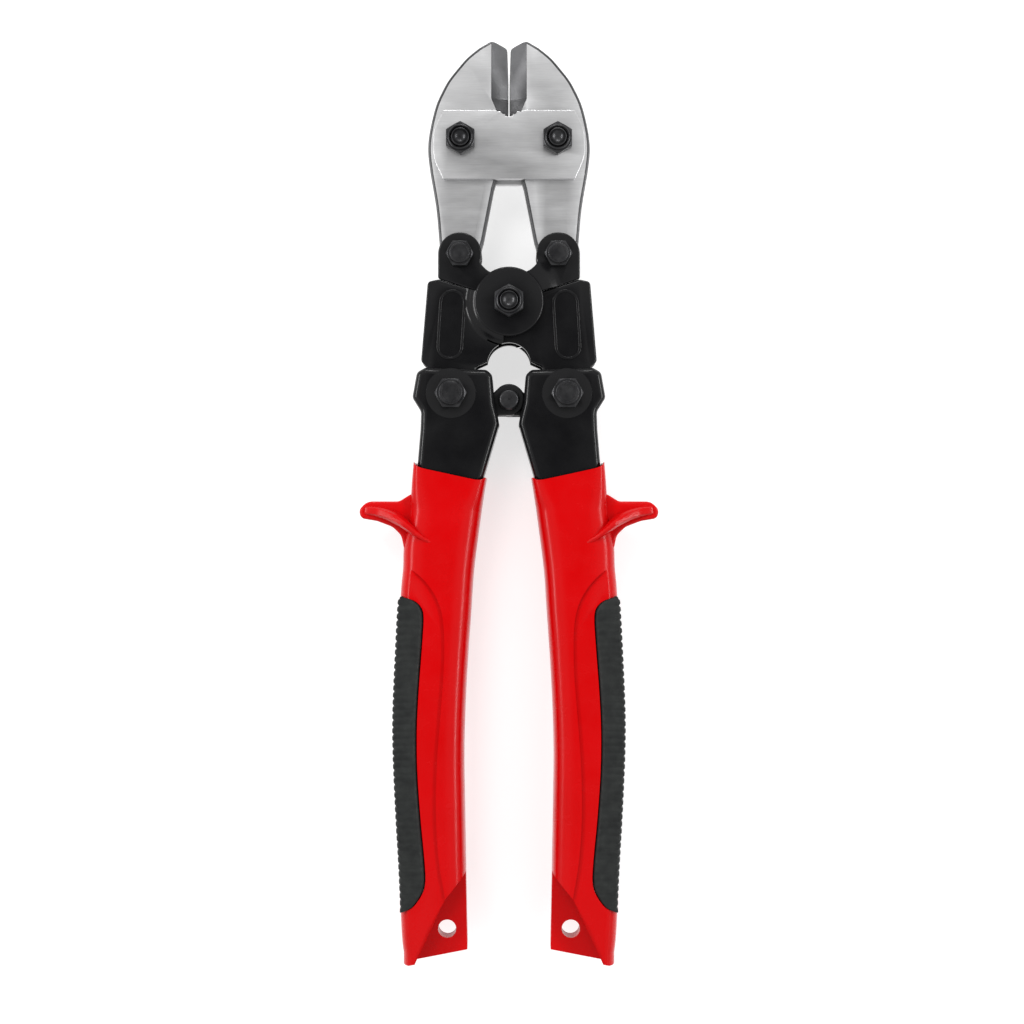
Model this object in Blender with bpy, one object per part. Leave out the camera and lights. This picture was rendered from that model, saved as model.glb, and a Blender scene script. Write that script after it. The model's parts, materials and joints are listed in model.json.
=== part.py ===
"""Compact compound-action bolt cutters, lying flat with the handles closed.

Two jaws turn on bolts between two jaw plates. Each jaw's tail is pinned to a lever, the two levers
cross on the centre bolt, and each handle turns on its own lever and on the other handle, so that
closing the handles spreads the levers and shuts the jaws. All sizes are in millimetres and are
measured from the centre bolt; +Y runs towards the jaws and +Z is up.
"""
import math

import bmesh
import bpy
from mathutils import Vector

MM = 0.001

# Clearances
GAP = 0.3                # between pieces that lie against each other, and round a shank in its hole
SLACK = 1.3              # extra round the toggle rivet in the right handle's ears
SINK = 0.05              # how far a joined-on solid stays inside the face it would share

# Pivots, as distances from the centre bolt
LINK_X, LINK_Y = 16.2, 15.9
JAW_PIN_X, JAW_PIN_Y = 16.0, 53.7
HANDLE_PIN_X, HANDLE_PIN_Y = 19.1, -30.2
TOGGLE_Y = -32.1

# Overall lengths
JAW_LENGTH = 33.3        # jaw pin to the tips of the jaws
GRIP_LENGTH = 152.3      # top of the hand guard to the end of the grip
GUARD_Y = -65.7          # top of the hand guard

# Thicknesses, across the tool
JAW_THICK = 8.0
PLATE_THICK = 2.7
LEVER_THICK = 2.5
HANDLE_THICK = 2.5
EAR_THICK = 2.5
SLEEVE_WALL = 1.8
WEB = 2.5                # the folded side walls of levers and handles
TANG_THICK = 10.0
TAB_THICK = 7.0

# Fasteners
BOLT_RADIUS = 3.0
HEX_RADIUS = 5.45        # across corners, halved
LINK_HEX_RADIUS = 4.7
HEAD_HEIGHT = 3.4
NUT_HEIGHT = 4.2
COLLAR_HEIGHT = 0.8      # the round collar on a nut's outer face
COLLAR_SHARE = 0.76      # the collar's radius, as a share of the hexagon's
CORNER_AHEAD = 30        # degrees that turn a corner of a hexagon towards the jaws
RIVET_RADIUS = 2.0
RIVET_HEAD_RADIUS = 3.75
RIVET_HEAD_HEIGHT = 1.4

# Jaws and jaw plates
EDGE_GAP = 0.2           # half the gap between the closed cutting edges
EDGE_THICK = 1.0
BEVEL_WIDTH = 5.6
TAIL_RADIUS = 6.6
PLATE_TOP, PLATE_BOTTOM = 63.3, 40.6
PLATE_HALF, PLATE_WAIST = 21.7, 24.9
NOTCH_RADIUS = 3.1

# Levers
DISC_RADIUS = 11.4
EAR_RADIUS = 7.2
RISE_RADIUS = 17.0       # where the raised centre of a lever has sloped down to its arms
TONGUE_RADIUS = 8.0
BODY_BOTTOM = -19.5
THROAT_Y, THROAT_RADIUS = -20.5, 7.2
BUSH_RADIUS = 8.0
FRONT_INNER, BACK_INNER = -3.4, 2.6      # how near the middle each plate of a lever's body comes
SWEPT_RADIUS = 14.6      # round the centre, left free in front for the other lever's body

# Handles and grips
TOGGLE_EAR_RADIUS = 5.2
BOX_END = -60.0          # where the folded box section of the handle ends inside the grip
TANG_MARGIN = 31.8       # from the end of the tang to the end of the grip
GRIP_EDGE = 2.5
GUARD_HALF = 8.0
HANG_HOLE_RADIUS = 3.0
HANG_X, HANG_RISE = -20.5, 10.7
INSERT_HEAD = 31.4       # from the guard down to the start of the rubber insert
INSERT_FOOT = 17.7       # from the end of the insert to the end of the grip

# Heights of the layers above the middle plane
JAW_TOP = JAW_THICK / 2
PLATE_LOW = JAW_TOP + GAP
PLATE_HIGH = PLATE_LOW + PLATE_THICK
INNER_LOW = JAW_TOP + GAP
INNER_HIGH = INNER_LOW + LEVER_THICK
OUTER_LOW = INNER_HIGH + GAP
OUTER_HIGH = OUTER_LOW + max(LEVER_THICK, HANDLE_THICK)
EAR_OUTER = (INNER_HIGH - GAP - EAR_THICK, INNER_HIGH - GAP)
EAR_INNER = (EAR_OUTER[0] - GAP - EAR_THICK, EAR_OUTER[0] - GAP)
SLEEVE_HALF = OUTER_HIGH + GAP + SLEEVE_WALL

# The world's origin is under the middle of the tool, on the surface that it lies on
TIP_Y = JAW_PIN_Y + JAW_LENGTH
GRIP_END = GUARD_Y - GRIP_LENGTH
AHEAD = -(TIP_Y + GRIP_END) / 2
REST = OUTER_HIGH + GAP + NUT_HEIGHT

CENTRE = (0.0, 0.0)
LINK_RIGHT = (LINK_X, LINK_Y)
JAW_PIN_RIGHT = (JAW_PIN_X, JAW_PIN_Y)
HANDLE_PIN_LEFT = (-HANDLE_PIN_X, HANDLE_PIN_Y)
TOGGLE = (0.0, TOGGLE_Y)


def clear_scene():
    for item in list(bpy.data.objects):
        bpy.data.objects.remove(item, do_unlink=True)


# Outlines

def arc(x, y, radius, start, end, steps):
    """Points round a centre, from one angle to another, in degrees."""
    points = []
    for i in range(steps + 1):
        angle = math.radians(start + (end - start) * i / steps)
        points.append((x + radius * math.cos(angle), y + radius * math.sin(angle)))
    return points


def offset(points, distance):
    """A closed outline, listed anticlockwise, moved outwards by a distance."""
    moved = []
    for i, here in enumerate(points):
        before = (Vector(here) - Vector(points[i - 1])).normalized()
        after = (Vector(points[(i + 1) % len(points)]) - Vector(here)).normalized()
        side = Vector((before.y + after.y, -before.x - after.x)).normalized()
        stretch = distance / max(0.4, math.sqrt((1 + before.dot(after)) / 2))
        moved.append((here[0] + side.x * stretch, here[1] + side.y * stretch))
    return moved


def anticlockwise(points):
    area = sum(points[i - 1][0] * p[1] - p[0] * points[i - 1][1] for i, p in enumerate(points))
    return points if area > 0 else points[::-1]


def flipped(points):
    return [(-x, y) for x, y in reversed(points)]


# Solids

def point(x, y, z):
    """A point measured from the centre bolt and the middle plane, in metres."""
    return Vector((x, y, z)) * MM


def new_object(name, mesh_data):
    mesh = bpy.data.meshes.new(name)
    mesh_data.to_mesh(mesh)
    mesh_data.free()
    item = bpy.data.objects.new(name, mesh)
    bpy.context.scene.collection.objects.link(item)
    return item


def prism(name, points, low, high, edge=0.0):
    """A plate with the given outline, chamfered all round both faces if an edge is given."""
    shape = bmesh.new()
    ring = [shape.verts.new(point(x, y, low + edge)) for x, y in anticlockwise(points)]
    bottom = shape.faces.new(ring)
    grown = bmesh.ops.extrude_face_region(shape, geom=[bottom])["geom"]
    lifted = [v for v in grown if isinstance(v, bmesh.types.BMVert)]
    bmesh.ops.translate(shape, verts=lifted, vec=(0, 0, (high - low - 2 * edge) * MM))
    bmesh.ops.recalc_face_normals(shape, faces=shape.faces)
    if edge:
        shape.faces.ensure_lookup_table()
        caps = [f for f in shape.faces if abs(f.normal.z) > 0.9]
        for cap in caps:
            bmesh.ops.inset_region(shape, faces=[cap], thickness=edge * MM, depth=edge * MM,
                                   use_even_offset=True)
    return new_object(name, shape)


def cone(name, centre, low_radius, high_radius, low, high, sides=32):
    """A turned piece between two heights; equal radii make a disc."""
    return prism_between(name, arc(*centre, low_radius, 0, 360 - 360 / sides, sides - 1), low,
                         arc(*centre, high_radius, 0, 360 - 360 / sides, sides - 1), high)


def prism_between(name, low_points, low, high_points, high):
    shape = bmesh.new()
    lower = [shape.verts.new(point(x, y, low)) for x, y in low_points]
    upper = [shape.verts.new(point(x, y, high)) for x, y in high_points]
    shape.faces.new(lower[::-1])
    shape.faces.new(upper)
    for i in range(len(lower)):
        shape.faces.new((lower[i - 1], lower[i], upper[i], upper[i - 1]))
    return new_object(name, shape)


def disc(name, centre, radius, low, high, sides=32):
    return cone(name, centre, radius, radius, low, high, sides)


def combine(target, tools, operation):
    """Cut, unite or intersect a solid with others for good, and drop the others."""
    for tool in tools:
        step = target.modifiers.new("combine", "BOOLEAN")
        step.operation = operation
        step.object = tool
        shown = target.evaluated_get(bpy.context.evaluated_depsgraph_get())
        result = bpy.data.meshes.new_from_object(shown)
        target.modifiers.clear()
        target.data = result
        bpy.data.objects.remove(tool, do_unlink=True)
    return target


def cut(target, *tools):
    return combine(target, tools, "DIFFERENCE")


def unite(target, *tools):
    return combine(target, tools, "UNION")


def common(target, *tools):
    return combine(target, tools, "INTERSECT")


def bore(target, centre, radius):
    return cut(target, disc("bore", centre, radius, -REST, REST))


# Finishing

def paint(item, name, colour, roughness, metallic):
    material = bpy.data.materials.get(name)
    if material is None:
        material = bpy.data.materials.new(name)
        material.use_nodes = True
        shader = material.node_tree.nodes["Principled BSDF"]
        shader.inputs["Base Color"].default_value = (*colour, 1.0)
        shader.inputs["Roughness"].default_value = roughness
        shader.inputs["Metallic"].default_value = metallic
    item.data.materials.clear()
    item.data.materials.append(material)


def ground_steel(item):
    paint(item, "ground_steel_" + item.name, (0.55, 0.56, 0.57), 0.38, 1.0)


def black_paint(item):
    paint(item, "black_paint_" + item.name, (0.012, 0.012, 0.014), 0.28, 0.0)


def black_oxide(item):
    paint(item, "black_oxide_" + item.name, (0.03, 0.03, 0.033), 0.38, 1.0)


def red_vinyl(item):
    paint(item, "red_vinyl_" + item.name, (0.75, 0.005, 0.01), 0.25, 0.0)


def grip_rubber(item):
    paint(item, "grip_rubber_" + item.name, (0.03, 0.034, 0.033), 0.6, 0.0)


def place_on(item, pivot):
    """Put the finished piece into the world, with its object's origin on its joint's axis."""
    origin = point(*pivot, 0.0)
    for vertex in item.data.vertices:
        vertex.co = vertex.co - origin
    item.location = origin + point(0.0, AHEAD, REST)
    item.data.shade_smooth()
    item.data.set_sharp_from_angle(angle=math.radians(35))


def turned_over(item, name, pivot):
    """The same piece on the other side: turned half round about the tool's long axis."""
    mesh = item.data.copy()
    here = item.location - point(0.0, AHEAD, REST)
    for vertex in mesh.vertices:
        place = vertex.co + here
        vertex.co = (-place.x, place.y, -place.z)
    twin = bpy.data.objects.new(name, mesh)
    bpy.context.scene.collection.objects.link(twin)
    place_on(twin, pivot)
    return twin


def other(pivot):
    return (-pivot[0], pivot[1])


# The cutting head

def jaw_outline():
    outer = [(5.8, TIP_Y), (9.9, TIP_Y - 2.4), (17.3, TIP_Y - 9.6), (22.2, TIP_Y - 17.0),
             (25.1, TIP_Y - 24.0), (26.7, JAW_PIN_Y + 1.3), (26.9, JAW_PIN_Y - 3.7),
             (26.1, JAW_PIN_Y - 10.7), (24.1, LINK_Y + 15.7)]
    tail = arc(LINK_X, LINK_Y, TAIL_RADIUS, 20, -190, 14)
    inner = [(5.0, LINK_Y + 22.1), (1.5, JAW_PIN_Y - 3.7), (EDGE_GAP + 0.4, JAW_PIN_Y + 4.3),
             (EDGE_GAP, JAW_PIN_Y + 10.3), (EDGE_GAP, TIP_Y - 14.0), (EDGE_GAP + 0.3, TIP_Y - 2.1)]
    return outer + tail + inner


def jaw_bevel(side):
    """The slope that is ground on one face of a jaw down to its cutting edge."""
    low, high = JAW_PIN_Y + 11.3, TIP_Y + 1.0
    slope = (JAW_TOP - EDGE_THICK / 2) / BEVEL_WIDTH
    start, end = EDGE_GAP - 1.0, EDGE_GAP + BEVEL_WIDTH + 1.0
    shape = bmesh.new()
    section = ((start, EDGE_THICK / 2 - slope), (end, JAW_TOP + slope), (start, JAW_TOP + slope))
    near = [shape.verts.new(point(x, low, side * z)) for x, z in section]
    far = [shape.verts.new(point(x, high, side * z)) for x, z in section]
    shape.faces.new(near)
    shape.faces.new(far[::-1])
    for i in range(3):
        shape.faces.new((near[i - 1], far[i - 1], far[i], near[i]))
    bmesh.ops.recalc_face_normals(shape, faces=shape.faces)
    return new_object("bevel", shape)


def make_jaws():
    right = prism("jaw_right", jaw_outline(), -JAW_TOP, JAW_TOP, 0.6)
    cut(right, jaw_bevel(1), jaw_bevel(-1))
    bore(right, JAW_PIN_RIGHT, BOLT_RADIUS + GAP)
    bore(right, LINK_RIGHT, BOLT_RADIUS + GAP)
    ground_steel(right)
    place_on(right, LINK_RIGHT)
    left = turned_over(right, "jaw_left", other(LINK_RIGHT))
    ground_steel(left)


def plate_outline():
    side = [(PLATE_HALF, PLATE_BOTTOM), (PLATE_HALF + 1.6, PLATE_BOTTOM + 2.6),
            (PLATE_WAIST, PLATE_BOTTOM + 6.4), (PLATE_WAIST, PLATE_TOP - 6.4),
            (PLATE_HALF + 1.6, PLATE_TOP - 2.6), (PLATE_HALF, PLATE_TOP)]
    return side + flipped(side)


def make_jaw_plates():
    for name, low, high in (("jaw_plate_front", PLATE_LOW, PLATE_HIGH),
                            ("jaw_plate_back", -PLATE_HIGH, -PLATE_LOW)):
        plate = prism(name, plate_outline(), low, high, 0.4)
        bore(plate, (0, PLATE_TOP + 1.0), NOTCH_RADIUS)
        for pin in (JAW_PIN_RIGHT, other(JAW_PIN_RIGHT)):
            bore(plate, pin, BOLT_RADIUS + GAP)
        ground_steel(plate)
        place_on(plate, other(JAW_PIN_RIGHT))


# Fasteners

def bolt(name, pivot, seat, hex_radius, head_up, turn):
    """A hexagon bolt through the stack between two seats, with its end level with the nut's."""
    head = hexagon(name, pivot, hex_radius, seat + GAP, seat + GAP + HEAD_HEIGHT, turn)
    end = -seat - GAP - NUT_HEIGHT
    shank = disc("shank", pivot, BOLT_RADIUS, end, seat + GAP + HEAD_HEIGHT / 2)
    unite(head, shank)
    if not head_up:
        for vertex in head.data.vertices:
            vertex.co.z = -vertex.co.z
        head.data.flip_normals()
    black_oxide(head)
    return head


def nut(name, pivot, seat, hex_radius, upwards, turn):
    """A hexagon nut on its seat, with a round collar on its outer face."""
    low = seat + GAP
    body = hexagon(name, pivot, hex_radius, low, low + NUT_HEIGHT - COLLAR_HEIGHT, turn)
    collar = disc("collar", pivot, hex_radius * COLLAR_SHARE, low + 0.5, low + NUT_HEIGHT)
    unite(body, collar)
    bore(body, pivot, BOLT_RADIUS + GAP)
    if not upwards:
        for vertex in body.data.vertices:
            vertex.co.z = -vertex.co.z
        body.data.flip_normals()
    black_oxide(body)
    return body


def hexagon(name, pivot, radius, low, high, turn):
    points = arc(*pivot, radius, turn, turn + 300, 5)
    return prism(name, points, low, high, 0.35)


def make_fasteners():
    pairs = (("jaw", JAW_PIN_RIGHT, PLATE_HIGH, HEX_RADIUS, False, CORNER_AHEAD),
             ("link", LINK_RIGHT, INNER_HIGH, LINK_HEX_RADIUS, True, 0),
             ("handle", other(HANDLE_PIN_LEFT), OUTER_HIGH, HEX_RADIUS, True, 0))
    for kind, right, seat, hex_radius, head_up, turn in pairs:
        for side, pivot in (("right", right), ("left", other(right))):
            place_on(bolt(f"{kind}_bolt_{side}", pivot, seat, hex_radius, head_up, turn), pivot)
            place_on(nut(f"{kind}_nut_{side}", pivot, seat, hex_radius, not head_up, turn), pivot)
    place_on(bolt("centre_bolt", CENTRE, OUTER_HIGH, HEX_RADIUS, False, CORNER_AHEAD), CENTRE)
    place_on(nut("centre_nut", CENTRE, OUTER_HIGH, HEX_RADIUS, True, CORNER_AHEAD), CENTRE)
    bush = disc("centre_bush", CENTRE, BUSH_RADIUS, -JAW_TOP, JAW_TOP)
    bore(bush, CENTRE, BOLT_RADIUS + GAP)
    ground_steel(bush)
    place_on(bush, CENTRE)


# Levers

def lever_body(inner):
    """The left-hand body of a lever, with the tongue that reaches into the handle."""
    tongue = arc(-HANDLE_PIN_X, HANDLE_PIN_Y, TONGUE_RADIUS, 180, 360, 10)
    edge = -HANDLE_PIN_X + TONGUE_RADIUS
    return ([(-4.0, 1.22), (-23.6, 7.2), (-26.8, 6.6), (-29.0, BODY_BOTTOM),
             (-HANDLE_PIN_X - TONGUE_RADIUS, BODY_BOTTOM - 2.0)] + tongue
            + [(edge, BODY_BOTTOM - 2.0), (-6.6, BODY_BOTTOM), (inner, -15.5), (inner, -6.0)])


def lever_ear():
    """The arm from the centre to the pin that holds the tail of the opposite jaw."""
    rim = arc(LINK_X, LINK_Y, EAR_RADIUS, 0, 200, 14)
    return [(4.0, 1.34), (LINK_X + EAR_RADIUS, 7.85)] + rim + [(5.9, 9.9), (3.0, 6.0)]


def lever_web():
    """The folded side wall that joins the two plates of a lever."""
    top, bottom = 6.6 - SINK, BODY_BOTTOM + SINK
    return [(-26.8 + SINK, top), (-29.0 + SINK, bottom), (-29.0 + WEB, bottom), (-26.8 + WEB, top)]


def lever_arm(outline):
    """One arm of the front plate, which slopes up to the raised disc over the other lever."""
    rise = cone("rise", CENTRE, RISE_RADIUS, DISC_RADIUS - 0.6, INNER_HIGH - GAP,
                OUTER_LOW + LEVER_THICK - SINK, 56)
    common(rise, prism("bounds", offset(anticlockwise(outline), -SINK), INNER_LOW, REST))
    arm = unite(prism("arm", outline, INNER_LOW, INNER_HIGH), rise)
    sector = [CENTRE] + arc(0, 0, SWEPT_RADIUS, 240, 300, 6)
    cut(arm, disc("swing", CENTRE, DISC_RADIUS + GAP, 0, OUTER_LOW + SINK, 52))
    return cut(arm, prism("sector", sector, 0, OUTER_LOW + 2 * SINK))


def make_levers():
    left = disc("lever_left", CENTRE, DISC_RADIUS, OUTER_LOW, OUTER_LOW + LEVER_THICK, 48)
    unite(left, lever_arm(lever_body(FRONT_INNER)), lever_arm(lever_ear()))
    back = prism("back", lever_body(BACK_INNER), -INNER_HIGH, -INNER_LOW)
    ear = prism("ear", lever_ear(), -INNER_HIGH, -INNER_LOW)
    hub = disc("hub", CENTRE, DISC_RADIUS, -INNER_HIGH + SINK, -INNER_LOW - SINK, 48)
    web = prism("web", lever_web(), -INNER_HIGH + SINK, INNER_HIGH - SINK)
    unite(left, unite(unite(hub, back), ear), web)
    bore(left, (0, THROAT_Y), THROAT_RADIUS)
    for pin in (CENTRE, LINK_RIGHT, HANDLE_PIN_LEFT):
        bore(left, pin, BOLT_RADIUS + GAP)
    black_paint(left)
    place_on(left, CENTRE)
    right = turned_over(left, "lever_right", CENTRE)
    black_paint(right)


# Handles

def core_outline():
    """The folded steel of the left handle, from its head down into the grip."""
    return [(-7.6, -22.4), (-28.0, -21.7), (-30.4, -23.6), (-31.9, -31.6), (-28.9, -36.2),
            (-29.2, -42.0), (-30.6, BOX_END), (-9.0, BOX_END), (-3.1, -40.0), (-3.6, -38.1),
            (-4.8, -33.2), (-5.5, -24.1)]


def head_cavity():
    """The open space between the plates, where the lever's tongue turns."""
    return [(-45.0, -10.0), (-45.0, -36.6), (-26.6, -37.4), (-28.0, BOX_END + WEB),
            (-11.6, BOX_END + WEB), (-9.2, -41.0), (-9.2, -10.0)]


def ear_cavity():
    return [(-6.7, -10.0), (-6.7, -38.6), (-4.4, -40.6), (6.0, -46.0), (6.0, -10.0)]


def toggle_ear():
    rim = arc(*TOGGLE, TOGGLE_EAR_RADIUS, -90, 125, 14)
    return [(-7.5, TOGGLE_Y - TOGGLE_EAR_RADIUS)] + rim + [(-7.5, TOGGLE_Y)]


def tang_outline():
    end = GRIP_END + TANG_MARGIN
    return [(-10.5, BOX_END + 0.5), (-28.4, BOX_END + 0.5), (-25.4, GUARD_Y - 25.0), (-25.0, end),
            (-18.0, end), (-16.4, GUARD_Y - 38.0)]


def make_core(name, ear_hole):
    core = prism(name, core_outline(), -OUTER_HIGH, OUTER_HIGH, 0.8)
    hollow = OUTER_HIGH - HANDLE_THICK
    cut(core, prism("cavity", head_cavity(), -hollow, hollow))
    cut(core, prism("cavity", ear_cavity(), -hollow, hollow))
    unite(core, prism("ear", toggle_ear(), *EAR_OUTER))
    unite(core, prism("ear", toggle_ear(), -EAR_INNER[1], -EAR_INNER[0]))
    half = TANG_THICK / 2
    tang = prism("tang", tang_outline(), -half, half)
    slot = [(-40.0, BOX_END - 4.0), (-40.0, GRIP_END), (-20.5, GRIP_END), (-20.5, BOX_END - 4.0)]
    cut(tang, prism("slot", slot, -half + WEB, half - WEB))
    unite(core, tang)
    bore(core, HANDLE_PIN_LEFT, BOLT_RADIUS + GAP)
    bore(core, TOGGLE, ear_hole)
    return core


def make_cores():
    left = make_core("handle_core_left", RIVET_RADIUS + GAP)
    black_paint(left)
    place_on(left, HANDLE_PIN_LEFT)
    loose = make_core("loose", RIVET_RADIUS + GAP + SLACK)
    place_on(loose, HANDLE_PIN_LEFT)
    right = turned_over(loose, "handle_core_right", other(HANDLE_PIN_LEFT))
    bpy.data.objects.remove(loose, do_unlink=True)
    black_paint(right)


def make_rivet():
    seat = EAR_OUTER[1] + GAP
    rivet = disc("toggle_rivet", TOGGLE, RIVET_RADIUS, -seat - 0.5, seat + 0.5)
    for side in (1, -1):
        ends = sorted((side * seat, side * (seat + RIVET_HEAD_HEIGHT)))
        radii = [RIVET_HEAD_RADIUS, RIVET_HEAD_RADIUS * 0.8][::side]
        unite(rivet, cone("head", TOGGLE, *radii, *ends))
    black_oxide(rivet)
    place_on(rivet, HANDLE_PIN_LEFT)


# Grips

def insert_outline():
    """The rubber insert on the outer side of the left grip."""
    top, end = GUARD_Y - INSERT_HEAD, GRIP_END + INSERT_FOOT
    middle = (top + end) / 2
    outer = [(-35.9, top), (-36.6, top - 1.5), (-37.6, top - 18.0), (-38.4, middle + 14.0),
             (-38.4, middle), (-38.0, middle - 9.0), (-37.3, middle - 23.0), (-36.6, end + 17.0),
             (-35.9, end + 3.5), (-35.9, end)]
    inner = [(-32.4, end + 0.7), (-29.2, end + 5.0), (-27.6, end + 9.0), (-27.9, end + 17.0),
             (-29.2, middle - 21.0), (-30.2, middle - 6.5), (-30.4, middle + 6.5),
             (-29.9, middle + 19.0), (-28.5, top - 13.5), (-28.1, top - 6.3), (-31.2, top - 1.3)]
    return outer + inner


def grip_outline():
    """The outer shape of the left grip without its guard."""
    middle = (GUARD_Y - INSERT_HEAD + GRIP_END + INSERT_FOOT) / 2
    outer = [(-31.4, -52.9), (-32.3, GUARD_Y + 2.4), (-34.8, GUARD_Y - 14.1),
             (-35.1, GUARD_Y - 22.0), (-35.9, GUARD_Y - INSERT_HEAD), (-37.0, middle + 30.0),
             (-37.4, middle), (-36.4, middle - 30.0), (-35.9, GRIP_END + INSERT_FOOT),
             (-35.4, GRIP_END + 3.5), (-31.5, GRIP_END)]
    inner = [(-13.9, GRIP_END + 4.0), (-14.3, GRIP_END + 30.0),
             (-14.7, middle - 16.0), (-14.9, middle), (-14.5, middle + 16.0),
             (-13.6, GUARD_Y - 51.0), (-12.6, GUARD_Y - 37.0), (-11.6, GUARD_Y - 22.6),
             (-9.8, GUARD_Y - 8.4), (-7.7, -57.9)]
    return outer + inner


def guard_outline():
    return [(-33.0, GUARD_Y + 2.4), (-36.2, GUARD_Y), (-44.8, GUARD_Y), (-49.2, GUARD_Y - 3.0),
            (-49.4, GUARD_Y - 5.5), (-43.4, GUARD_Y - 6.6), (-38.4, GUARD_Y - 8.4),
            (-35.5, GUARD_Y - 11.2), (-33.0, GUARD_Y - 14.1)]


def tab_recess():
    """The triangle beside the hanging hole that is moulded thinner than the grip."""
    return [(-12.0, GRIP_END + 30.0), (-14.6, GRIP_END + 29.9), (-20.9, GRIP_END + 22.1),
            (-30.8, GRIP_END - 2.0), (-12.0, GRIP_END - 2.0)]


def make_grips():
    left = prism("sleeve_left", grip_outline(), -SLEEVE_HALF, SLEEVE_HALF, GRIP_EDGE)
    unite(left, prism("guard", guard_outline(), -GUARD_HALF, GUARD_HALF, 1.2))
    mouth = offset(anticlockwise(core_outline()), GAP)
    cut(left, prism("mouth", mouth, -OUTER_HIGH - GAP, OUTER_HIGH + GAP))
    half = TANG_THICK / 2 + GAP
    cut(left, prism("pocket", offset(anticlockwise(tang_outline()), GAP), -half, half))
    notch = offset(anticlockwise(insert_outline()), GAP)
    cut(left, prism("notch", notch, -REST, REST))
    for low, high in ((TAB_THICK / 2, REST), (-REST, -TAB_THICK / 2)):
        cut(left, prism("recess", tab_recess(), low, high))
    bore(left, (HANG_X, GRIP_END + HANG_RISE), HANG_HOLE_RADIUS)
    red_vinyl(left)
    place_on(left, HANDLE_PIN_LEFT)
    insert = prism("grip_insert_left", insert_outline(), -SLEEVE_HALF + GAP, SLEEVE_HALF - GAP, 1.5)
    grip_rubber(insert)
    place_on(insert, HANDLE_PIN_LEFT)
    right = turned_over(left, "sleeve_right", other(HANDLE_PIN_LEFT))
    red_vinyl(right)
    insert = turned_over(insert, "grip_insert_right", other(HANDLE_PIN_LEFT))
    grip_rubber(insert)


clear_scene()
make_jaws()
make_jaw_plates()
make_fasteners()
make_levers()
make_cores()
make_rivet()
make_grips()
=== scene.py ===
import json
import math

import bpy
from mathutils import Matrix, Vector

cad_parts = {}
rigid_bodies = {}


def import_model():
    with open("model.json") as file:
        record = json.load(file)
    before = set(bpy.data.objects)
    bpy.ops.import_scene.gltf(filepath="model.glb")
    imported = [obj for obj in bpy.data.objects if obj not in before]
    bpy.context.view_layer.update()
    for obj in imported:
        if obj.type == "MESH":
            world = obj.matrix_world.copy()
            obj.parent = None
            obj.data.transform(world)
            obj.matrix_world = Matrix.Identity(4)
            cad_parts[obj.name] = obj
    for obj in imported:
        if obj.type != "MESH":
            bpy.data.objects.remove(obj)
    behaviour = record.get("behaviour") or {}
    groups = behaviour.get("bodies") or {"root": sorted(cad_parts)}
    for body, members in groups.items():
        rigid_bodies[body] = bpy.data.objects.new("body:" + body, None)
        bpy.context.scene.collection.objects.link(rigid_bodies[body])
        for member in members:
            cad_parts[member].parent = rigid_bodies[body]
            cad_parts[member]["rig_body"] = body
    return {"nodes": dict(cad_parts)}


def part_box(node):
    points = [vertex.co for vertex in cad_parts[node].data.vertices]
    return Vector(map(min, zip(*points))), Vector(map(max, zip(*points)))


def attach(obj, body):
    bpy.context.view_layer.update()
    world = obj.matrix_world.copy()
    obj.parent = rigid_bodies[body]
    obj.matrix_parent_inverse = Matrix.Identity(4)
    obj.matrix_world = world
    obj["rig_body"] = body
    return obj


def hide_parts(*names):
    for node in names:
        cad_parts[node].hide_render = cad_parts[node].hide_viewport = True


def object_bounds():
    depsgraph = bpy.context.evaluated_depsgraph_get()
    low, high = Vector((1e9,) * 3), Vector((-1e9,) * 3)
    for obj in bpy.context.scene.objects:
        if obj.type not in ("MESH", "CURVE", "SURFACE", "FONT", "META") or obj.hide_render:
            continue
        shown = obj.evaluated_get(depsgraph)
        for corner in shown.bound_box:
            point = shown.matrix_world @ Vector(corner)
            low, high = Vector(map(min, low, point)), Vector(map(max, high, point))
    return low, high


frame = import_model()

cad_box = [list(corner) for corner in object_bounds()]
scene = bpy.context.scene
scene.view_settings.view_transform = "Standard"
MM = 0.001


# Cutting jaws
# Two thick drop-forged blades, ground flat on both faces, with a bevel down to each cutting edge.
# The sides and the bevels get a darker copy of the steel, painted shade for how they catch the
# light. The link bolt in its tail moves each one.

nut_low, nut_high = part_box("centre_nut")
HUB = Vector(((nut_low[0] + nut_high[0]) / 2, (nut_low[1] + nut_high[1]) / 2,
              (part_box("jaw_plate_back")[0][2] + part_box("jaw_plate_front")[1][2]) / 2))


def at(x, y, z=0.0):
    """A place in the frame from millimetres off the centre bolt and the middle plane."""
    return HUB + Vector((x, y, z)) * MM


def pin_of(node):
    low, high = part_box(node)
    return ((low[0] + high[0]) / 2 - HUB.x) / MM, ((low[1] + high[1]) / 2 - HUB.y) / MM


def face_of(node, side=1):
    """Height of a node's upper (or lower) face above the middle plane, in millimetres."""
    low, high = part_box(node)
    return (high[2] - HUB.z) / MM if side > 0 else (low[2] - HUB.z) / MM


LINK = pin_of("link_bolt_right")
JAW_PIN = pin_of("jaw_bolt_right")
HANDLE_PIN = pin_of("handle_bolt_left")
TOGGLE = pin_of("toggle_rivet")
TIP = (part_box("jaw_right")[1][1] - HUB.y) / MM
JAW_TOP = face_of("jaw_right")
HOLE = 3.3
THROUGH = 20.0


def only(piece):
    """Selects one object and nothing else."""
    bpy.ops.object.select_all(action="DESELECT")
    piece.select_set(True)
    bpy.context.view_layer.objects.active = piece


def apply(piece, kind, **settings):
    """Adds a modifier with its settings and applies it."""
    only(piece)
    step = piece.modifiers.new(kind.lower(), kind)
    for key, value in settings.items():
        setattr(step, key, value)
    bpy.ops.object.modifier_apply(modifier=step.name)
    return piece


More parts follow.
